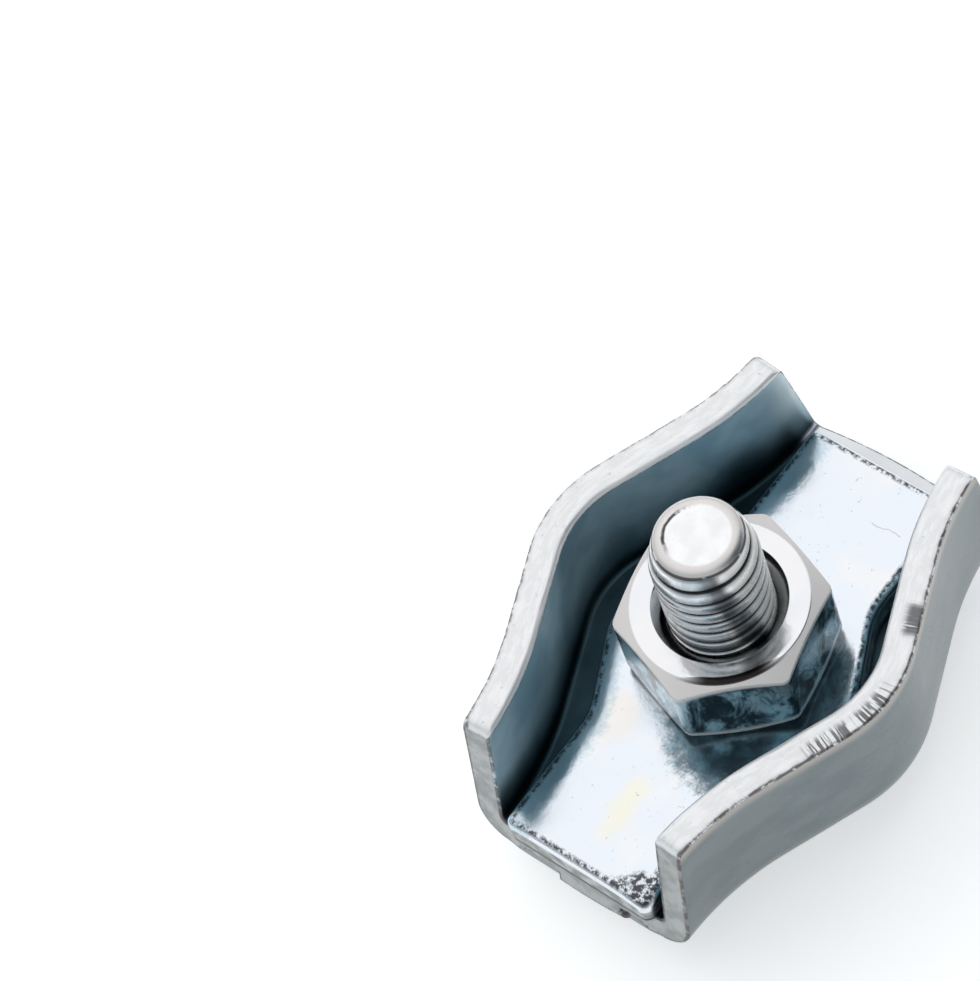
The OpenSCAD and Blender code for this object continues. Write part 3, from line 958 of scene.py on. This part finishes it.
CAMERA_AZIMUTH = math.radians(-122.82)
CAMERA_ELEVATION = math.radians(58.17)
CAMERA_ROLL = math.radians(-22.24)
CAMERA_PLACE = (-76.41, -102.38, 235.04)    # in millimetres
CAMERA_LENS = 184.9                         # on a sensor 36 mm wide


def build_floor():
    """A pale round floor that the camera and reflections see a little brighter."""
    mesh = bpy.data.meshes.new("floor")
    turns = np.radians(np.arange(0, 360, 360 // FLOOR_CORNERS))
    circle = [(FLOOR_RADIUS * math.cos(a), FLOOR_RADIUS * math.sin(a), 0) for a in turns]
    mesh.from_pydata(circle, [], [tuple(range(FLOOR_CORNERS))])
    floor = bpy.data.objects.new("floor", mesh)
    scene.collection.objects.link(floor)
    material, t = new_material("pale_floor")
    path = t.tree.nodes.new("ShaderNodeLightPath")
    seen = t.math("MAXIMUM", path.outputs["Is Camera Ray"], path.outputs["Is Glossy Ray"])
    seen = t.math("MAXIMUM", seen, path.outputs["Is Transmission Ray"])
    matt = t.add("ShaderNodeBsdfDiffuse", {"Color": rgba(0.90, 0.90, 0.90)})
    glow = t.math("MULTIPLY", seen, 0.50)
    lift = t.add("ShaderNodeEmission", {"Color": rgba(1, 1, 1), "Strength": glow})
    both = t.add("ShaderNodeAddShader", {0: matt, 1: lift})
    t.add("ShaderNodeOutputMaterial", {"Surface": both})
    mesh.materials.append(material)


def build_world():
    """A grey sky, bright round the key direction and dark round the dark one."""
    world = bpy.data.worlds.new("studio")
    scene.world = world
    world.use_nodes = True
    t = Tree(world.node_tree)
    direction = t.add("ShaderNodeTexCoord", output=0)
    facing = t.add("ShaderNodeVectorMath", {0: direction, 1: KEY_DIRECTION},
                   output=1, operation="DOT_PRODUCT")
    height = t.add("ShaderNodeSeparateXYZ", {"Vector": direction}, output=2)
    sky = t.mix(t.band(facing, 0.60, 0.82), rgba(0.56, 0.60, 0.62), rgba(0.97, 0.98, 1.0))
    shaded = t.add("ShaderNodeVectorMath", {0: direction, 1: DARK_DIRECTION},
                   output=1, operation="DOT_PRODUCT")
    sky = t.mix(t.band(shaded, 0.80, 0.93), sky, rgba(0.05, 0.08, 0.10))
    colour = t.mix(t.band(height, 0.02, 0.20), rgba(0.80, 0.84, 0.87), sky)
    background = t.add("ShaderNodeBackground", {"Color": colour, "Strength": 1.0})
    t.add("ShaderNodeOutputWorld", {"Surface": background})


def build_key_light():
    """A square soft lamp facing the clip."""
    lamp = bpy.data.lights.new("key", "AREA")
    lamp.shape = "SQUARE"
    lamp.size = KEY_SIZE
    lamp.energy = KEY_RADIANCE * math.pi * KEY_SIZE**2
    holder = bpy.data.objects.new("key", lamp)
    holder.location = KEY_DIRECTION * KEY_DISTANCE
    holder.rotation_mode = "QUATERNION"
    holder.rotation_quaternion = KEY_DIRECTION.to_track_quat("Z", "Y")
    scene.collection.objects.link(holder)


def build_camera():
    """The photograph's viewpoint: a long lens, 58 degrees above the floor."""
    level = math.cos(CAMERA_ELEVATION)
    back = Vector((
        level * math.cos(CAMERA_AZIMUTH),
        level * math.sin(CAMERA_AZIMUTH),
        math.sin(CAMERA_ELEVATION),
    ))
    right = (-back).cross(Vector((0, 0, 1))).normalized()
    up = right.cross(-back)
    x_axis = math.cos(CAMERA_ROLL) * right + math.sin(CAMERA_ROLL) * up
    y_axis = -math.sin(CAMERA_ROLL) * right + math.cos(CAMERA_ROLL) * up
    camera = bpy.data.objects.new("camera", bpy.data.cameras.new("camera"))
    camera.data.sensor_fit = "HORIZONTAL"
    camera.data.sensor_width = 36
    camera.data.lens = CAMERA_LENS
    camera.data.clip_start, camera.data.clip_end = 0.01, 20
    turned = Matrix((x_axis, y_axis, back)).transposed().to_4x4()
    camera.matrix_world = Matrix.Translation(Vector(CAMERA_PLACE) * MM) @ turned
    scene.collection.objects.link(camera)
    scene.camera = camera


build_camera()
build_floor()
build_world()
build_key_light()

build_channel().data.materials.append(channel_material())
build_plate().data.materials.append(plate_material())
build_bolt().data.materials.append(bolt_material())
build_nut().data.materials.append(nut_material())

scene.view_settings.view_transform = "Standard"
